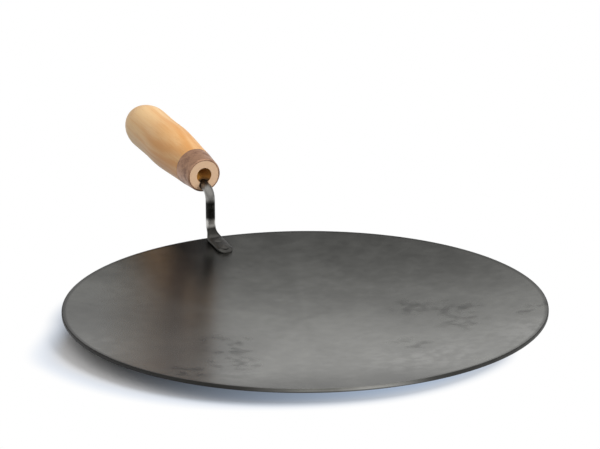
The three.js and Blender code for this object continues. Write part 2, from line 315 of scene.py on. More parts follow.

# Places on the sheet: x, y and radius in metres
SMUDGED = (
    (0.066, -0.012, 0.022),
    (0.088, -0.031, 0.026),
    (0.080, -0.058, 0.024),
    (0.124, -0.063, 0.020),
    (0.034, -0.080, 0.022),
    (-0.064, -0.032, 0.030),
    (-0.076, -0.068, 0.026),
    (-0.108, -0.077, 0.022),
)
HAZE = ((0.070, -0.034, 0.050), (-0.062, -0.036, 0.036))
# Painted reflection: darkens the sheet's left side, where it mirrors the grip
PAINTED_LEFT_REFLECTION = ((-0.118, 0.016, 0.095), (-0.122, -0.036, 0.078))
# Painted shade: darkens the sheet along the front rim and at the far rim beside the foot
PAINTED_RIM_SHADE = ((-0.064, -0.141, 0.060), (-0.105, -0.111, 0.050), (-0.003, -0.152, 0.055), (-0.016, 0.147, 0.026))
# Long dark streaks, painted reflections of the rod and the grip in the sheet: both ends and the radius
PAINTED_HANDLE_REFLECTION = ((-0.017, 0.139), (-0.124, -0.098), 0.031)
PAINTED_GRIP_REFLECTION = ((-0.010, 0.148), (-0.062, 0.030), 0.026)
RUBBED = ((0.107, -0.105, 0.040), (-0.090, -0.085, 0.036), (-0.140, -0.014, 0.030), (0.030, -0.110, 0.050))
# Where the rim's side face and its edge ring are left unblackened, at the front middle
CLEAN_EDGE = ((-0.040, -0.144, 0.075),)
BARE_EDGE = ((-0.018, -0.148, 0.034),)


def patches(wire, x, y, spots):
    """1 in the middle of the spots and 0 outside them, smoothly between."""
    shape = None
    for spot_x, spot_y, radius in spots:
        off = ((x - spot_x) ** 2.0 + (y - spot_y) ** 2.0) ** 0.5
        mask = off.ramp(radius, radius * 0.2)
        shape = mask if shape is None else wire.math("MAXIMUM", shape, mask)
    return shape


def streak(wire, x, y, start, end, radius):
    """1 along the line from start to end and 0 beyond the radius from it, smoothly between."""
    run_x, run_y = end[0] - start[0], end[1] - start[1]
    square = run_x**2 + run_y**2
    share = (x - start[0]) * (run_x / square) + (y - start[1]) * (run_y / square)
    share = wire.math("MINIMUM", wire.math("MAXIMUM", share, 0.0), 1.0)
    off_x = x - start[0] - share * run_x
    off_y = y - start[1] - share * run_y
    return ((off_x**2.0 + off_y**2.0) ** 0.5).ramp(radius, radius * 0.2)


def seasoned_steel(colours, pan):
    """Dark seasoned sheet: cloudy oil film, smudges, fine scratches, a burnt rim and a burnt-black underside,
    with painted reflections of the handle and painted shade darkening its left side and its front rim.
    """
    material, wire, shader = new_material("seasoned_steel")
    place = object_place(wire)
    x, y, z = place.parts()
    distance = (x * x + y * y) ** 0.5
    rim = pan.diameter / 2
    dish_radius = (rim**2 + pan.dish**2) / (2 * pan.dish)
    below = distance * distance / (2 * dish_radius) - z
    under = below.ramp(pan.sheet * -0.35, pan.sheet * 0.25)
    cloud = place.noise(9.0, 2.0, 0.5)
    film = place.noise(40.0, 4.0, 0.58)
    mottle = place.noise(130.0, 3.0, 0.55)
    grain = place.noise(620.0, 3.0, 0.6)
    hairs = place.stretched((30.0, 900.0, 1.0), (0.0, 0.0, 0.4)).noise(1.0, 2.0, 0.5).ramp(0.66, 0.74)
    cross = place.stretched((26.0, 1100.0, 1.0), (0.0, 0.0, -1.1)).noise(1.0, 2.0, 0.5).ramp(0.68, 0.76)
    scratches = wire.math("MAXIMUM", hairs, cross) * cloud.ramp(0.42, 0.62)
    smudges = place.noise(130.0, 1.0, 0.4).ramp(0.36, 0.74) * patches(wire, x, y, SMUDGED)
    # Painted reflection and painted shade, with a smudgy haze, darken the sheet towards the black
    painted_shade_and_haze = patches(wire, x, y, PAINTED_LEFT_REFLECTION) * 0.5 + patches(wire, x, y, PAINTED_RIM_SHADE) * 0.3
    # Painted reflection of the grip by the foot, fading towards the front
    painted_grip_streak = streak(wire, x, y, *PAINTED_GRIP_REFLECTION) * y.ramp(0.025, 0.115)
    painted_shade_and_haze = painted_shade_and_haze + streak(wire, x, y, *PAINTED_HANDLE_REFLECTION) * 0.3 + painted_grip_streak * 0.55
    painted_shade_and_haze = painted_shade_and_haze + patches(wire, x, y, HAZE) * 0.16
    rubbed = patches(wire, x, y, RUBBED) * mottle.ramp(0.42, 0.62)
    tone = (cloud * 0.3 + film * 0.42 + mottle * 0.28).ramp(0.34, 0.66)
    sheet = tone.blend(opaque(colours.steel_dark), opaque(colours.steel_light))
    sheet = (scratches * 0.14 + rubbed * 0.3).blend(sheet, opaque(colours.steel_bare))
    scale = distance.ramp(rim - 0.0034, rim - 0.0014) * (0.5 - patches(wire, x, y, CLEAN_EDGE) * 0.5)
    sheet = (smudges * 0.44 + painted_shade_and_haze + scale).blend(sheet, opaque(colours.soot_and_shade))
    side = distance.ramp(rim - 0.0010, rim - 0.0003)
    sheet = (side * patches(wire, x, y, BARE_EDGE) * 0.45).blend(sheet, opaque(colours.steel_bare))
    # The side face is blackened except at the front middle: burnt-on black, and on the left painted shade
    side = side * (1.0 - patches(wire, x, y, CLEAN_EDGE))
    burnt = wire.math("MAXIMUM", under * (0.72 + 0.28 * film.ramp(0.2, 0.62)), side * (0.75 + film * 0.3))
    height = film * 0.5 + mottle * 0.2 + grain * 0.06 - scratches * 0.3 + burnt * grain
    set_shader(
        wire,
        shader,
        {
            "Base Color": burnt.blend(sheet, opaque(colours.soot_and_shade)),
            "Metallic": 1.0 - burnt * 0.55,
            "Roughness": 0.2 + film * 0.1 + smudges * 0.06 + burnt * 0.34,
            "Normal": bumped(wire, height, 0.00003),
        },
    )
    return material


def blackened_steel(name, colours, dullness):
    """Blackened steel, bright where the piece's attribute says so and a little in streaks: rubbed wear on the
    foot and the rivets, painted highlights on the rod's bends.
    """
    material, wire, shader = new_material(name)
    place = object_place(wire)
    blotches = place.noise(110.0, 5.0, 0.6)
    fine = place.noise(900.0, 3.0, 0.6)
    rub = wire.node("ShaderNodeAttribute", {"attribute_name": "rub"}, None, output="Fac")
    streaks = (blotches * 0.7 + fine * 0.3).ramp(0.48, 0.74)
    wear_and_highlight = wire.math("MINIMUM", rub * (0.75 + streaks * 0.35) + streaks * 0.12, 1.0)
    set_shader(
        wire,
        shader,
        {
            "Base Color": wear_and_highlight.blend(opaque(colours.rod_dark), opaque(colours.rod_worn_and_highlight)),
            "Metallic": 1.0,
            "Roughness": dullness + blotches * 0.12 - rub * 0.06,
            "Normal": bumped(wire, blotches * 0.7 + fine * 0.3, 0.00008),
        },
    )
    return material


def grip_place(wire, face, pitch):
    """Coordinates of the grip: across it, along it from the end face, and up from its axis."""
    return wire.node(
        "ShaderNodeMapping",
        {"vector_type": "TEXTURE"},
        {"Vector": object_place(wire), "Location": (0.0, face[0], face[1]), "Rotation": (pitch, 0.0, 0.0)},
    )


def browned_steel(colours, face, pitch):
    """Dull browned band with oxide patches, with painted shade darkening its underside."""
    material, wire, shader = new_material("browned_steel")
    place = grip_place(wire, face, pitch)
    x, y, z = place.parts()
    blotches = place.noise(130.0, 5.0, 0.62)
    fine = place.noise(1100.0, 3.0, 0.6)
    oxide = (blotches * 0.75 + fine * 0.25).ramp(0.40, 0.66)
    # Painted shade: the band's underside turns dark
    band_underside_shade = (z * UNDERSIDE).ramp(0.5, 0.95)
    band = oxide.blend(opaque(colours.band), opaque(colours.band_dark))
    set_shader(
        wire,
        shader,
        {
            "Base Color": (band_underside_shade * 0.85).blend(band, opaque(colours.soot_and_shade)),
            "Metallic": 0.5 - oxide * 0.3,
            "Roughness": 0.36 + oxide * 0.2,
            "Normal": bumped(wire, blotches * 0.6 + fine * 0.4, 0.00008),
        },
    )
    return material


def turned_wood(colours, face, pitch):
    """Light turned wood: growth rings, fibres and pores about the grip's axis, singed and burnt at the mouth,
    with painted shade on its underside.
    """
    material, wire, shader = new_material("turned_wood")
    along = grip_place(wire, face, pitch)
    x, y, z = along.parts()
    drift = along.stretched((60.0, 9.0, 60.0)).noise(1.0, 3.0, 0.5)
    pith = ((x - 0.021 + y * 0.03) ** 2.0 + (z + 0.034) ** 2.0) ** 0.5
    rings = wire.math("SINE", pith * 2100.0 + drift * 10.0)
    fibres = along.stretched((1500.0, 28.0, 1500.0)).noise(1.0, 3.0, 0.6)
    pores = along.stretched((2400.0, 90.0, 2400.0)).noise(1.0, 2.0, 0.5).ramp(0.63, 0.72)
    broad = along.stretched((40.0, 12.0, 40.0)).noise(1.0, 2.0, 0.5)
    deep = (rings * 0.09 + fibres * 0.4 + broad * 0.6 - y.ramp(0.035, 0.11) * 0.4).ramp(0.06, 0.66)
    wood = deep.blend(opaque(colours.wood_pale), opaque(colours.wood_deep))
    wood = (y.ramp(0.003, 0.0008) * 0.8).blend(wood, opaque(colours.wood_end))
    # Painted shade: the grip's underside turns dark
    wood = ((z * UNDERSIDE).ramp(0.6, 1.0) * (0.6 + fibres * 0.5)).blend(wood, opaque(colours.grip_underside_shade))
    wood = (pores * 0.25).blend(wood, opaque(colours.wood_pore))
    scorch = wire.node("ShaderNodeAttribute", {"attribute_name": "scorch"}, None, output="Fac")
    burning = scorch + (broad - 0.5) * 0.2
    singed = burning.ramp(0.08, 0.5)
    wood = singed.blend(wood, opaque(colours.singed))
    wood = burning.ramp(0.68, 1.05).blend(wood, opaque(colours.char))
    set_shader(
        wire,
        shader,
        {
            "Base Color": wood,
            "Roughness": 0.46 + fibres * 0.14 + singed * 0.3,
            "Coat Weight": 0.3 * (1.0 - singed),
            "Coat Roughness": 0.4,
            "Normal": bumped(wire, fibres * 0.5 - pores * 0.5, 0.00004),
        },
    )
    return material


# Surfaces


def ring_mesh(name, rings, first_pole=None, last_pole=None, closed=False):
    """A mesh through rings of points, an array of (rings, points, 3).

    Neighbouring rings are joined by quads, a pole closes an end with a fan, and closed joins the last ring to
    the first.
    """
    count, sides = rings.shape[:2]
    points = rings.reshape(-1, 3)
    ring = np.arange(count if closed else count - 1)[:, None]
    side = np.arange(sides)[None, :]
    beside = (side + 1) % sides
    beyond = (ring + 1) % count
    quads = np.stack(
        [ring * sides + side, ring * sides + beside, beyond * sides + beside, beyond * sides + side], axis=-1
    ).reshape(-1, 4)
    faces = quads.tolist()
    here = np.arange(sides)
    there = (here + 1) % sides
    if first_pole is not None:
        middle = np.full(sides, len(points))
        points = np.vstack([points, first_pole])
        faces += np.stack([middle, there, here], axis=-1).tolist()
    if last_pole is not None:
        middle = np.full(sides, len(points))
        points = np.vstack([points, last_pole])
        last = (count - 1) * sides
        faces += np.stack([middle, last + here, last + there], axis=-1).tolist()
    mesh = bpy.data.meshes.new(name)
    mesh.from_pydata(points.tolist(), [], faces)
    mesh.polygons.foreach_set("use_smooth", np.ones(len(faces), bool))
    mesh.update()
    return mesh


def mark(mesh, name, values):
    """Give the mesh a named value at each point."""
    layer = mesh.attributes.new(name, "FLOAT", "POINT")
    layer.data.foreach_set("value", np.asarray(values, np.float32))


def turned_rings(radius, height, sides):
    """Turned surface: station i at angle t is (r cos t, r sin t, h), with r and h from the profile."""
    turn = np.linspace(0.0, 2 * math.pi, sides, endpoint=False)
    x = radius[:, None] * np.cos(turn)
    y = radius[:, None] * np.sin(turn)
    return np.stack([x, y, np.broadcast_to(height[:, None], x.shape)], axis=-1)


def arc(middle, radius, start, end, count):
    """Points of a circle's arc: middle + radius (cos a, sin a), a from start to end."""
    turn = np.linspace(start, end, count)
    return np.stack([middle[0] + radius * np.cos(turn), middle[1] + radius * np.sin(turn)], axis=-1)


def corner(start, bend, end, count):
    """Rounded corner: the quadratic Bezier (1-t)^2 start + 2t(1-t) bend + t^2 end."""
    t = np.linspace(0.0, 1.0, count)[:, None]
    return (1 - t) ** 2 * np.array(start) + 2 * t * (1 - t) * np.array(bend) + t**2 * np.array(end)


def spline(points, count):
    """Catmull-Rom curve through the points, each piece a cubic with slopes half the chord of its neighbours."""
    knots = np.asarray(points, float)
    padded = np.vstack([knots[:1], knots, knots[-1:]])
    place = np.linspace(0.0, len(knots) - 1.0, count)
    piece = np.minimum(place.astype(int), len(knots) - 2)
    t = (place - piece)[:, None]
    before, start, end, after = (padded[piece + step] for step in range(4))
    leave, arrive = (end - before) / 2, (after - start) / 2
    cubic = 2 * start - 2 * end + leave + arrive
    square = 3 * end - 3 * start - 2 * leave - arrive
    return cubic * t**3 + square * t**2 + leave * t + start


def smooth(value, low, high):
    """Smoothstep: 0 below low, 1 above high, 3t^2 - 2t^3 between."""
    t = np.clip((value - low) / (high - low), 0.0, 1.0)
    return t * t * (3 - 2 * t)


class Layout:
    """Places that the pan and the handle share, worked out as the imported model's are."""

    def __init__(self, pan, handle):
        rim = pan.diameter / 2
        self.rim = rim
        self.dish = (rim**2 + pan.dish**2) / (2 * pan.dish)
        self.underside = self.dish + pan.sheet
        self.middle_z = math.sqrt(self.underside**2 - (pan.flat / 2) ** 2)
        self.rim_z = self.middle_z - math.sqrt(self.dish**2 - rim**2)
        self.foot = self.dish - handle.seat - handle.foot_thickness / 2
        off_dish = self.foot - handle.heel
        off_rim = handle.heel + handle.rod / 2 + handle.rim_clearance
        swing = math.acos((off_dish**2 + self.dish**2 - off_rim**2) / (2 * off_dish * self.dish))
        heel = math.asin(rim / self.dish) - swing
        self.heel = (off_dish * math.sin(heel), self.middle_z - off_dish * math.cos(heel))
        self.heel_angle = heel - math.pi / 2
        self.tip_angle = self.heel_angle - handle.foot_length / self.foot
        self.rod_y = self.heel[0] + handle.heel
        self.tang_pitch = handle.grip_pitch + handle.tang_tilt
        rise, run = math.sin(self.tang_pitch), math.cos(self.tang_pitch)
        neck_end_y = self.rod_y + handle.neck * (1 - rise)
        mouth_y = neck_end_y + handle.neck_straight * run
        mouth_z = handle.grip_height - handle.tang_drop * math.cos(handle.grip_pitch)
        self.mouth = (mouth_y, mouth_z)
        self.face = (mouth_y - handle.tang_drop * math.sin(handle.grip_pitch), handle.grip_height)
        neck_end_z = mouth_z - handle.neck_straight * rise
        self.neck = (self.rod_y + handle.neck, neck_end_z - handle.neck * run)
        self.tang_tip = (mouth_y + handle.tang_length * run, mouth_z + handle.tang_length * rise)


def pan_profile(pan, place):
    """Half section of the sheet: flat, underside arc, two rounded rim corners and the cooking face's arc."""
    rim, edge = place.rim, pan.edge

    def on_arc(radius, start, end, count):
        low, high = math.asin(start / radius) - math.pi / 2, math.asin(end / radius) - math.pi / 2
        return arc((0.0, place.middle_z), radius, low, high, count)

    under = on_arc(place.underside, pan.flat / 2, rim - edge, 40)
    face = on_arc(place.dish, rim - edge, 0.0006, 90)
    low_z = place.middle_z - math.sqrt(place.underside**2 - rim**2)
    lower = corner(under[-1], (rim, low_z), (rim, low_z + edge), 7)
    upper = corner((rim, place.rim_z - edge), (rim, place.rim_z), face[0], 7)
    flat = np.stack([np.linspace(0.0006, pan.flat / 2, 16)[:-1], np.zeros(15)], axis=-1)
    return np.vstack([flat, under, lower[1:], upper, face[1:]])


def pan_mesh(pan, place):
    """The sheet, turned, with the slight unevenness of hand-pressed steel.

    The height changes by a sum of three low waves over the plan, which dies away at the flat and the rim.
    """
    profile = pan_profile(pan, place)
    rings = turned_rings(profile[:, 0], profile[:, 1], 288)
    x, y = rings[..., 0], rings[..., 1]
    distance = np.hypot(x, y)
    calm = smooth(distance, pan.flat * 0.6, pan.flat) * smooth(place.rim - distance, 0.002, 0.02)
    wave = np.sin(41 * x + 17 * y + 0.6) + np.sin(-23 * x + 52 * y + 2.1) + np.sin(63 * x - 31 * y + 4.0)
    rings[..., 2] += 0.00003 * wave * calm
    return ring_mesh("pan", rings, (0.0, 0.0, 0.0), (0.0, 0.0, place.middle_z - place.dish))


def rod_path(handle, place):
    """Stations along the rod, in the plane of Y and Z: places, half width, half height and corner exponent.

    The foot follows the dish, the heel and the neck are arcs, and straight runs join them to each other and to
    the tang.
    """
    half = handle.rod / 2
    flat_w, flat_h = handle.foot_width / 2, handle.foot_thickness / 2
    turn = np.linspace(0.05, math.pi / 2, 22)
    tip = place.tip_angle + flat_w * (1 - np.cos(turn)) / place.foot
    foot = np.concatenate([tip, np.linspace(tip[-1], place.heel_angle, 14)[1:]])
    foot_yz = np.stack(
        [place.foot * np.cos(foot), place.middle_z + place.foot * np.sin(foot)], axis=-1
    )
    foot_w = np.concatenate([flat_w * np.sin(turn), np.full(13, flat_w)])
    heel_yz = arc(place.heel, handle.heel, place.heel_angle, 0.0, 40)[1:]
    neck_yz = arc(place.neck, handle.neck, math.pi, math.pi / 2 + place.tang_pitch, 40)
    upright_yz = np.linspace(heel_yz[-1], neck_yz[0], 30)[1:-1]
    straight_yz = np.linspace(neck_yz[-1], place.mouth, 10)[1:]
    tang_yz = np.linspace(place.mouth, place.tang_tip, 24)[1:]
    places = np.vstack([foot_yz, heel_yz, upright_yz, neck_yz, straight_yz, tang_yz])
    share = smooth(np.linspace(0.0, 1.0, 40)[1:], 0.05, 0.65)
    run_in = half + (handle.tang_root / 2 - half) * smooth(np.linspace(0.0, 1.0, 9), 0.2, 1.0)
    spike = np.linspace(handle.tang_root / 2, handle.tang_tip / 2, 24)[1:]
    round_run = np.concatenate([np.full(len(upright_yz) + len(neck_yz), half), run_in, spike])
    width = np.concatenate([foot_w, flat_w + (half - flat_w) * share, round_run])
    height = np.concatenate([np.full(len(foot), flat_h), flat_h + (half - flat_h) * share, round_run])
    power = np.concatenate([np.full(len(foot), 0.45), 0.45 + 0.55 * share, np.ones(len(round_run))])
    return places, width, height, power


def rod_rub_and_highlight(places, handle, place):
    """How bright each station is: the foot a little from wear, less towards the heel's lower bend, and painted
    highlights most on the upper heel and the neck bend.
    """
    height = places[:, 1]
    from_tip = np.hypot(*(places - places[0]).T)
    foot = 0.14 + 0.07 * smooth(from_tip, 0.002, 0.010)
    low, bend = place.heel[1] - handle.heel, place.heel[1] - handle.heel * 0.8
    foot *= 1 - 0.7 * smooth(height, low, bend) - 0.3 * smooth(height, bend, place.heel[1])
    # Painted highlights: a band on the upper heel bend and a weaker one on the neck bend
    off_heel = np.abs(height - place.heel[1] + handle.heel * 0.07)
    heel = 1.0 - smooth(off_heel, 0.001, handle.heel * 0.45)
    off_neck = np.abs(height - place.mouth[1] + handle.neck * 0.6)
    neck = 0.54 * (1 - smooth(off_neck, 0.002, handle.neck * 0.8))
    return np.maximum(np.maximum(foot, heel), neck)


def rod_mesh(handle, place):
    """The rod: superellipse sections carried along its path.

    A section's point at angle t is a |cos t|^p across and b |sin t|^p along the path's normal, with their signs.
    On the hammered foot the upper half has a rounder p than the lower, the lower half goes down to the sheet, and
    the tip is beaten thin against it.
    """
    places, width, height, power = rod_path(handle, place)
    from_tip = np.hypot(*(places - places[0]).T)[:, None]
    thin = 0.35 + 0.65 * smooth(from_tip, 0.0, 0.004)
    along = np.gradient(places, axis=0)
    along /= np.linalg.norm(along, axis=1, keepdims=True)
    turn = np.linspace(0.0, 2 * math.pi, 56, endpoint=False)
    flatness = (1 - power[:, None]) / (1 - power[0])
    lower = np.clip(-np.sin(turn), 0.0, 1.0)
    power = np.where(lower > 0, power[:, None], 0.5 + 0.5 * power[:, None])
    spread = width[:, None] + 0.0004 * flatness * lower**2
    depth = height[:, None] + handle.seat * flatness * (lower > 0)
    across = np.sign(np.cos(turn)) * np.abs(np.cos(turn)) ** power * spread
    up = np.sign(np.sin(turn)) * np.abs(np.sin(turn)) ** power * depth
    bottom = up.min(axis=1, keepdims=True)
    up = bottom + (up - bottom) * thin
    y = places[:, :1] - up * along[:, 1:]
    z = places[:, 1:] + up * along[:, :1]
    rings = np.stack([across, y, z], axis=-1)[:, ::-1]
    start, end = rings[0].mean(axis=0), rings[-1].mean(axis=0)
    mesh = ring_mesh("handle_rod", rings, start, end)
    # Wear on the foot and painted highlights on the bends, read by the rod's finish
    rub = np.repeat(rod_rub_and_highlight(places, handle, place), len(turn))
    mark(mesh, "rub", np.concatenate([rub, [rub[0], 0.0]]))
    return mesh


def rivet_mesh(name, pan, handle, place, from_tip):
    """A rivet, turned about the dish's normal: a low head, the shank and a set head below the sheet."""
    turn = np.linspace(0.02, math.pi / 2, 14)
    seat = handle.seat + handle.foot_thickness
    tail_r, tail_h = handle.rivet_tail / 2, handle.rivet_tail_height + handle.seat
    head_r, head_h = handle.rivet_head / 2, handle.rivet_head_height + handle.seat
    shank = handle.rivet_tail * 0.3
    tail = np.stack([tail_r * np.sin(turn), -pan.sheet - tail_h * np.cos(turn)], axis=-1)
    head = np.stack([head_r * np.sin(turn), seat + head_h * np.cos(turn) ** 2], axis=-1)[::-1]
    middle = np.array([[shank, -pan.sheet], [shank, seat]])
    profile = np.vstack([tail, middle, head])
    rings = turned_rings(profile[:, 0], profile[:, 1], 40)
    slope = place.tip_angle + from_tip / place.foot + math.pi / 2
    tilt = Matrix.Rotation(slope, 3, "X")
    spot = np.array([0.0, place.dish * math.sin(slope), place.middle_z - place.dish * math.cos(slope)])
    poles = np.array([[0.0, 0.0, -pan.sheet - tail_h], [0.0, 0.0, seat + head_h]])
    turned = rings @ np.array(tilt).T + spot
    low, high = poles @ np.array(tilt).T + spot
    mesh = ring_mesh(name, turned, low, high)
    mark(mesh, "rub", np.full(len(mesh.vertices), 0.19))
    return mesh


def on_grip(points, handle, place):
    """Points given as (across, along the grip, up from its axis), pitched and moved to the grip's end face."""
    pitch = handle.grip_pitch
    across, along, up = points[..., 0], points[..., 1], points[..., 2]
    y = place.face[0] + along * math.cos(pitch) - up * math.sin(pitch)
    z = place.face[1] + along * math.sin(pitch) + up * math.cos(pitch)
    return np.stack([across, y, z], axis=-1)


def grip_rings(radius, along, sides):
    """Turned surface about the grip's axis: (r sin t, along, r cos t)."""
    rings = turned_rings(radius, along, sides)
    return rings[..., [1, 2, 0]]


def ferrule_mesh(handle, place):
    """The band: a tapered tube whose front edge is rolled in over the wood."""
    front, rear, wall = handle.ferrule_front / 2, handle.ferrule_rear / 2, handle.ferrule_wall
    end, roll = handle.ferrule_length, 0.0011
    taper = (rear - front) / end
    lip = corner((front - wall - 0.0002, 0.00012), (front, 0.0), (front + taper * roll, roll), 10)
    edge = corner((rear - taper * 0.0004, end - 0.0004), (rear, end), (rear - 0.0004, end), 6)
    outer = np.linspace(lip[-1], edge[0], 24)[1:-1]
    inner = np.array([[rear - wall, end], [front - wall, 0.0012], [front - wall - 0.0002, 0.0008]])
    profile = np.vstack([lip, outer, edge, inner])
    rings = grip_rings(profile[:, 0], profile[:, 1], 128)
    return ring_mesh("ferrule", on_grip(rings, handle, place), closed=True)


def mouth_depth(across, up, handle):
    """Depth of the end face: the deeper of a cone on the axis and the hole that the tang fills."""
    radius = handle.mouth / 2
    cone = handle.mouth_depth * np.clip(1 - np.hypot(across, up) / radius, 0.0, 1.0)
    hole_edge = handle.tang_root / 2 + 0.00012
    beyond = np.hypot(across, up + handle.tang_drop) - hole_edge
    hole = 0.004 * (1 - smooth(beyond, 0.0, 0.0005))
    return np.maximum(cone, hole), np.maximum(np.hypot(across, up) - radius, -0.004), beyond


def grip_mesh(handle, place):
    """The grip: an end face with its scorched mouth, a neck in the band, a swell, a waist and a domed butt.

    The face is a disc whose depth comes from mouth_depth, and the body turns a smooth curve through the sizes.
    """
    wall = handle.ferrule_wall + 0.00004
    front, rear = handle.ferrule_front / 2 - wall, handle.ferrule_rear / 2
    shoulder = handle.ferrule_length + 0.00005
    butt_at = handle.grip_length - handle.dome
    body = spline(
        [
            (rear, shoulder),
            (handle.neck_diameter / 2, handle.neck_at),
            (handle.swell_diameter / 2, handle.swell_at),
            (handle.waist_diameter / 2, (handle.swell_at + butt_at) / 2),
            (handle.butt_diameter / 2, butt_at),
        ],
        110,
    )
    turn = np.linspace(0.0, math.pi / 2 - 0.02, 40)[1:]
    dome = np.stack([handle.butt_diameter / 2 * np.cos(turn), butt_at + handle.dome * np.sin(turn)], axis=-1)
    disc = np.stack([np.linspace(0.00012, front - 0.0003, 84), np.full(84, 0.0002)], axis=-1)
    rim = corner(disc[-1], (front, 0.0002), (front + 0.0002, 0.0012), 5)[1:]
    neck = np.array([[rear - wall, shoulder], [rear - 0.0003, shoulder]])
    lead = corner((rear - 0.0003, shoulder), (rear, shoulder), body[2], 5)[1:-1]
    profile = np.vstack([disc, rim, neck, lead, body[2:], dome])
    sides = 160
    rings = grip_rings(profile[:, 0], profile[:, 1], sides)
    depth, off_mouth, off_hole = mouth_depth(rings[:84, :, 0], rings[:84, :, 2], handle)
    rings[:84, :, 1] += depth
    scorch = np.zeros(rings.shape[:2])
    nearest = np.minimum(off_mouth, off_hole)
    inside = 0.5 + 0.5 * smooth(-rings[:84, :, 2], 0.0, handle.mouth * 0.42)
    scorch[:84] = np.where(nearest < 0, inside, np.exp(-np.maximum(nearest, 0) / 0.0006) * inside * 0.3)
    mesh = ring_mesh(
        "wooden_grip",
        on_grip(rings, handle, place),
        on_grip(np.array([0.0, 0.0002 + handle.mouth_depth, 0.0]), handle, place),
        on_grip(np.array([0.0, handle.grip_length, 0.0]), handle, place),
    )
    mark(mesh, "scorch", np.concatenate([scorch.ravel(), [0.6, 0.0]]))
    return mesh


def show(mesh, material, node):
    """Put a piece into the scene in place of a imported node, with its finish."""
    mesh.materials.append(material)
    piece = bpy.data.objects.new(mesh.name, mesh)
    piece.name = "dressed_" + node
    bpy.context.scene.collection.objects.link(piece)
    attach(piece, "root")
    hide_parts(node)
    return piece


# Operators


class TAWA_OT_pan(Operator):
    """Make the dished steel sheet"""

    bl_idname = "tawa.pan"
    bl_label = "Make pan"

    def execute(self, context):
        scene = context.scene
        place = Layout(scene.tawa_pan, scene.tawa_handle)
        mesh = pan_mesh(scene.tawa_pan, place)
        show(mesh, seasoned_steel(scene.tawa_colours, scene.tawa_pan), "pan")
        return {"FINISHED"}


class TAWA_OT_rod(Operator):
    """Make the bent rod with its flattened foot and its tang"""

    bl_idname = "tawa.rod"
    bl_label = "Make rod"

    def execute(self, context):
        scene = context.scene
        place = Layout(scene.tawa_pan, scene.tawa_handle)
        mesh = rod_mesh(scene.tawa_handle, place)
        show(mesh, blackened_steel("blackened_rod", scene.tawa_colours, 0.36), "handle_rod")
        return {"FINISHED"}


class TAWA_OT_rivets(Operator):
    """Make the two rivets that hold the foot"""

    bl_idname = "tawa.rivets"
    bl_label = "Make rivets"

    def execute(self, context):
        scene = context.scene
        handle = scene.tawa_handle
        place = Layout(scene.tawa_pan, handle)
        finish = blackened_steel("rubbed_rivets", scene.tawa_colours, 0.55)
        seats = {
            "rivet_inner": handle.foot_width / 2,
            "rivet_outer": handle.foot_length - handle.rivet_head / 2 - handle.rivet_margin,
        }
        for node, from_tip in seats.items():
            mesh = rivet_mesh(node, scene.tawa_pan, handle, place, from_tip)
            show(mesh, finish, node)
        return {"FINISHED"}


class TAWA_OT_ferrule(Operator):
    """Make the steel band on the grip's end"""

    bl_idname = "tawa.ferrule"
    bl_label = "Make ferrule"

    def execute(self, context):
        scene = context.scene
        place = Layout(scene.tawa_pan, scene.tawa_handle)
        mesh = ferrule_mesh(scene.tawa_handle, place)
        finish = browned_steel(scene.tawa_colours, place.face, scene.tawa_handle.grip_pitch)
        show(mesh, finish, "ferrule")
        return {"FINISHED"}


class TAWA_OT_grip(Operator):
    """Make the turned wooden grip"""

    bl_idname = "tawa.grip"
    bl_label = "Make grip"

    def execute(self, context):
        scene = context.scene
        handle = scene.tawa_handle
        place = Layout(scene.tawa_pan, handle)
        finish = turned_wood(scene.tawa_colours, place.face, handle.grip_pitch)
        show(grip_mesh(handle, place), finish, "wooden_grip")
        return {"FINISHED"}


def white_floor(stage):
    """Light-table floor: it takes the pan's shadow, and beyond the pan the camera and reflections see it white.

    As a source of bounced light it is duller. Near the pan a grey disc, moved to the left and trimmed behind, is
    painted shade that deepens the shadow and sets its edge, and under the pan's right side the floor glows with a
    bluish painted light.
    """
    material, wire, shader = new_material("white_floor")
    x, y, z = object_place(wire).parts()
    path = wire.node("ShaderNodeLightPath").socket.node
    seen = Wire(wire.tree, path.outputs["Is Camera Ray"])
    for ray in ("Is Glossy Ray", "Is Transmission Ray"):
        seen = wire.math("MAXIMUM", seen, Wire(wire.tree, path.outputs[ray]))
    set_shader(
        wire,
        shader,
        {
            "Base Color": seen.blend(opaque(stage.floor_bounce), opaque(stage.floor_shaded)),
            "Roughness": 1.0,
            "Specular IOR Level": 0.0,
        },
    )
    right = x * math.cos(stage.turn) - y * math.sin(stage.turn)
    away = x * math.sin(stage.turn) + y * math.cos(stage.turn)
    # Painted shade: the grey disc, moved to the left and trimmed behind the pan
    shift = stage.shade_shift * (0.35 + right.ramp(0.06, -0.07) * 0.65)
    reach = ((right + shift) ** 2.0 + away**2.0) ** 0.5 + away.ramp(-0.08, 0.0) * stage.shade_trim
    beyond = reach.ramp(stage.shade_from, stage.shade_to)
    # Painted light: a bluish glow under the pan's right side that lightens its shadow
    below = right.ramp(-0.13, 0.10) * stage.shade_glow
    tint = beyond.blend(opaque(stage.shade_colour), opaque(stage.floor))
    glow = wire.node("ShaderNodeEmission", None, {"Color": tint, "Strength": 1.0})
    share = wire.math("MAXIMUM", beyond, below) * seen
    surface = Wire(wire.tree, shader.outputs["BSDF"])
    mixed = wire.node("ShaderNodeMixShader", None, {0: share, 1: surface, 2: glow})
    wire.tree.links.new(mixed.socket, wire.tree.nodes["Material Output"].inputs["Surface"])
    return material


def grey_stops(tint, greys):
    """Stops of a colour ramp: each grey times the tint."""
    return [(place, (grey * tint[0], grey * tint[1], grey * tint[2], 1.0)) for place, grey in greys]


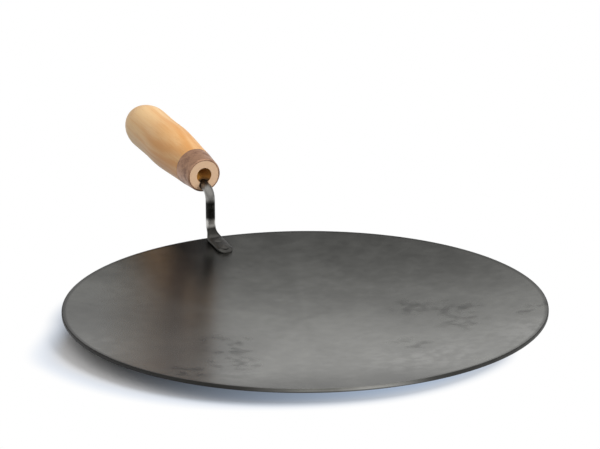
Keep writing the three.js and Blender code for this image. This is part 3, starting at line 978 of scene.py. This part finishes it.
def studio_world(stage):
    """Soft studio surroundings, by the sine of the height above the floor.

    Behind the object they are pale near the floor and dark overhead, and on the camera's side they are an even,
    faintly blue fill. The camera itself sees white.
    """
    world = bpy.data.worlds.new("studio")
    bpy.context.scene.world = world
    world.use_nodes = True
    wire = Wire(world.node_tree)
    x, y, height = wire.node("ShaderNodeTexCoord", None, None, output="Generated").parts()
    away = x * math.sin(stage.turn) + y * math.cos(stage.turn)
    back = (
        (0.0, 0.06),
        (0.06, 0.10),
        (0.10, 0.42),
        (0.145, 0.92),
        (0.20, 0.87),
        (0.29, 0.75),
        (0.38, 0.48),
        (0.47, 0.20),
        (0.55, 0.10),
        (0.72, 0.13),
        (0.85, 0.70),
        (1.0, 0.95),
    )
    front = ((0.0, 0.25), (0.20, 0.48), (0.45, 0.92), (0.85, 0.95), (1.0, 0.95))
    backdrop = wire.node("ShaderNodeValToRGB", {"stops": grey_stops((1.0, 1.0, 1.0), back)}, {"Fac": height})
    fill = wire.node("ShaderNodeValToRGB", {"stops": grey_stops((1.0, 0.99, 0.97), front)}, {"Fac": height})
    shade = away.ramp(0.1, 0.55).blend(fill, backdrop)
    path = wire.node("ShaderNodeLightPath").socket.node
    shade = Wire(wire.tree, path.outputs["Is Camera Ray"]).blend(shade, opaque(stage.floor))
    background = world.node_tree.nodes["Background"]
    world.node_tree.links.new(shade.socket, background.inputs["Color"])


class TAWA_OT_stage(Operator):
    """Make the camera, the light and the floor"""

    bl_idname = "tawa.stage"
    bl_label = "Make stage"

    def execute(self, context):
        scene = context.scene
        stage = scene.tawa_stage
        place = Layout(scene.tawa_pan, scene.tawa_handle)
        turn = Matrix.Rotation(-stage.turn, 3, "Z")
        run, rise = math.cos(stage.elevation), math.sin(stage.elevation)
        aim = Vector((
            math.sin(stage.yaw) * math.cos(stage.pitch),
            math.cos(stage.yaw) * math.cos(stage.pitch),
            -math.sin(stage.pitch),
        ))
        right = Vector((math.cos(stage.yaw), -math.sin(stage.yaw), 0.0))
        down = aim.cross(right)
        level = math.cos(stage.roll), math.sin(stage.roll)
        across = right * level[0] + down * level[1]
        below = down * level[0] - right * level[1]
        axes = Matrix((turn @ across, turn @ -below, turn @ -aim)).transposed().to_4x4()
        spot = turn @ Vector((0.0, -run, rise)) * stage.distance + Vector((0.0, 0.0, place.rim_z))
        lens = bpy.data.cameras.new("camera")
        lens.lens = stage.lens
        lens.sensor_width = 36.0
        lens.clip_end = 100.0
        camera = bpy.data.objects.new("camera", lens)
        camera.matrix_world = Matrix.Translation(spot) @ axes
        scene.collection.objects.link(camera)
        scene.camera = camera

        for name in ("key", "fill"):
            lamp = bpy.data.lights.new(name, "SUN")
            lamp.energy = getattr(stage, name)
            lamp.color = getattr(stage, name + "_colour")
            lamp.angle = getattr(stage, name + "_size")
            height, side = getattr(stage, name + "_height"), getattr(stage, name + "_side")
            flat = math.cos(height)
            towards = turn @ Vector((flat * math.sin(side), flat * math.cos(side), math.sin(height)))
            light = bpy.data.objects.new(name, lamp)
            light.rotation_euler = towards.to_track_quat("Z", "Y").to_euler()
            light.location = towards * 2.0
            light.visible_glossy = False
            scene.collection.objects.link(light)

        reach = 30.0
        mesh = bpy.data.meshes.new("floor")
        mesh.from_pydata(
            [(-reach, -reach, 0.0), (reach, -reach, 0.0), (reach, reach, 0.0), (-reach, reach, 0.0)],
            [],
            [(0, 1, 2, 3)],
        )
        mesh.materials.append(white_floor(stage))
        floor = bpy.data.objects.new("floor", mesh)
        scene.collection.objects.link(floor)

        studio_world(stage)
        scene.view_settings.view_transform = "Standard"
        return {"FINISHED"}


class TAWA_PT_panel(Panel):
    """Sidebar panel that lists the makers and their sizes"""

    bl_idname = "TAWA_PT_panel"
    bl_label = "Tawa"
    bl_space_type = "VIEW_3D"
    bl_region_type = "UI"
    bl_category = "Tawa"

    def draw(self, context):
        for maker in MAKERS:
            self.layout.operator(maker.bl_idname)
        for group in GROUPS:
            settings = getattr(context.scene, group)
            box = self.layout.box()
            for name in settings.__annotations__:
                box.prop(settings, name)


MAKERS = (TAWA_OT_pan, TAWA_OT_rod, TAWA_OT_rivets, TAWA_OT_ferrule, TAWA_OT_grip, TAWA_OT_stage)
GROUPS = {
    "tawa_pan": PanSizes,
    "tawa_handle": HandleSizes,
    "tawa_colours": FinishColours,
    "tawa_stage": StageSettings,
}
CLASSES = (*GROUPS.values(), *MAKERS, TAWA_PT_panel)


def register():
    """Register the classes and hang the settings on the scene."""
    for part in CLASSES:
        bpy.utils.register_class(part)
    for name, group in GROUPS.items():
        setattr(bpy.types.Scene, name, PointerProperty(type=group))


def unregister():
    """Take the settings and the classes away again."""
    for name in GROUPS:
        delattr(bpy.types.Scene, name)
    for part in reversed(CLASSES):
        bpy.utils.unregister_class(part)


def main():
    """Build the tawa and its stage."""
    register()
    bpy.ops.tawa.pan()
    bpy.ops.tawa.rod()
    bpy.ops.tawa.rivets()
    bpy.ops.tawa.ferrule()
    bpy.ops.tawa.grip()
    bpy.ops.tawa.stage()


if __name__ == "__main__":
    main()
